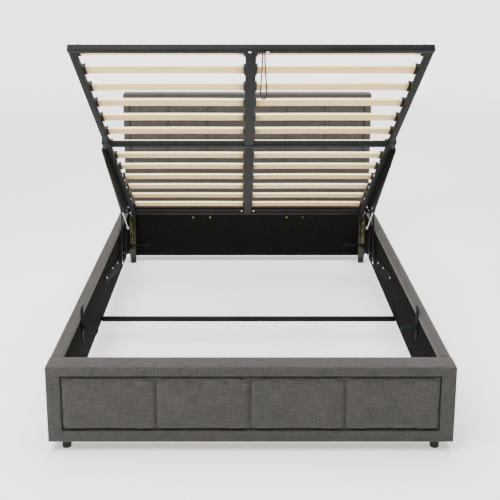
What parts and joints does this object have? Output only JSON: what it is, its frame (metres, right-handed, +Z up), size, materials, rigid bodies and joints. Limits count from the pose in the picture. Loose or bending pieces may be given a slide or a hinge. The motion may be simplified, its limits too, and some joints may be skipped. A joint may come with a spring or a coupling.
{
  "type": "gas-lift storage bed",
  "caption": "Upholstered double bed whose slatted steel platform lifts on gas struts to open the storage space below.",
  "frame": {"origin": "on the floor under the middle of the bed", "axes": "+X to the right seen from the foot end, +Y from the footboard to the headboard, +Z up"},
  "size_m": [1.5, 2.145, 1.491],
  "materials": {
    "woven_linen": "plain woven grey-brown linen-look upholstery",
    "black_felt": "black non-woven lining on a thin board",
    "powder_coated_steel": "charcoal powder coat, satin",
    "chromed_rod": "hard chromed gas strut rod",
    "black_plastic": "moulded black plastic",
    "birch_slat": "clear laminated birch",
    "black_cord": "braided black cord"
  },
  "bodies": {
    "bed_base": {"footboard": "woven_linen", "footboard_padding": "woven_linen", "headboard": "woven_linen", "headboard_padding": "woven_linen", "right_side_rail": "woven_linen", "left_side_rail": "woven_linen", "head_panel": "black_felt", "right_corner_leg": "black_plastic", "left_corner_leg": "black_plastic", "right_front_foot": "black_plastic", "left_front_foot": "black_plastic", "cross_tube": "powder_coated_steel", "right_rest_bracket": "powder_coated_steel", "left_rest_bracket": "powder_coated_steel", "right_base_plate": "powder_coated_steel", "left_base_plate": "powder_coated_steel"},
    "rear_links": {"right_rear_link": "powder_coated_steel", "left_rear_link": "powder_coated_steel"},
    "platform": {"head_end_tube": "powder_coated_steel", "foot_end_tube": "powder_coated_steel", "right_side_tube": "powder_coated_steel", "left_side_tube": "powder_coated_steel", "middle_crossbar": "powder_coated_steel", "centre_rail_head_half": "powder_coated_steel", "centre_rail_foot_half": "powder_coated_steel", "right_slat_01": "birch_slat", "left_slat_01": "birch_slat", "right_slat_02": "birch_slat", "left_slat_02": "birch_slat", "right_slat_03": "birch_slat", "left_slat_03": "birch_slat", "right_slat_04": "birch_slat", "left_slat_04": "birch_slat", "right_slat_05": "birch_slat", "left_slat_05": "birch_slat", "right_slat_06": "birch_slat", "left_slat_06": "birch_slat", "right_slat_07": "birch_slat", "left_slat_07": "birch_slat", "right_slat_08": "birch_slat", "left_slat_08": "birch_slat", "right_slat_09": "birch_slat", "left_slat_09": "birch_slat", "right_slat_10": "birch_slat", "left_slat_10": "birch_slat", "right_slat_11": "birch_slat", "left_slat_11": "birch_slat", "right_slat_12": "birch_slat", "left_slat_12": "birch_slat", "right_slat_13": "birch_slat", "left_slat_13": "birch_slat", "right_lift_arm": "powder_coated_steel", "left_lift_arm": "powder_coated_steel", "pull_strap": "black_cord"},
    "front_links": {"right_front_link": "powder_coated_steel", "left_front_link": "powder_coated_steel"},
    "strut_rods": {"right_strut_rod": "chromed_rod", "left_strut_rod": "chromed_rod"},
    "strut_cylinders": {"right_strut_cylinder": "powder_coated_steel", "left_strut_cylinder": "powder_coated_steel"}
  },
  "joints": [
    {"name": "platform_lift", "type": "hinge", "parent": "bed_base", "child": "rear_links", "pos_m": [0, 0.67238, 0.14], "axis": [1, 0, 0], "range_deg": [-61.56, 0], "stiffness_Nm_per_rad": 50, "springref_deg": 148.97},
    {"name": "platform_tilt", "type": "hinge", "parent": "rear_links", "child": "platform", "pos_m": [0, 0.66672, 0.4025], "axis": [1, 0, 0], "range_deg": [0, 96.06]},
    {"name": "front_link_swing", "type": "hinge", "parent": "bed_base", "child": "front_links", "pos_m": [0, 0.51343, 0.16], "axis": [1, 0, 0], "range_deg": [-55.71, 0]},
    {"name": "strut_swing", "type": "hinge", "parent": "rear_links", "child": "strut_rods", "pos_m": [0, 0.66872, 0.31], "axis": [1, 0, 0], "range_deg": [0, 97.16]},
    {"name": "strut_stroke", "type": "slide", "parent": "strut_rods", "child": "strut_cylinders", "axis": [0, -0.7639, 0.6454], "range_m": [-0.1366, 0]}
  ],
  "couplings": [
    {"joint": "platform_tilt", "follows": "platform_lift", "ratio": -1.5605},
    {"joint": "front_link_swing", "follows": "platform_lift", "ratio": 0.90492},
    {"joint": "strut_swing", "follows": "platform_lift", "ratio": -1.5784},
    {"joint": "strut_stroke", "follows": "platform_lift", "m_per_rad": 0.12708}
  ]
}
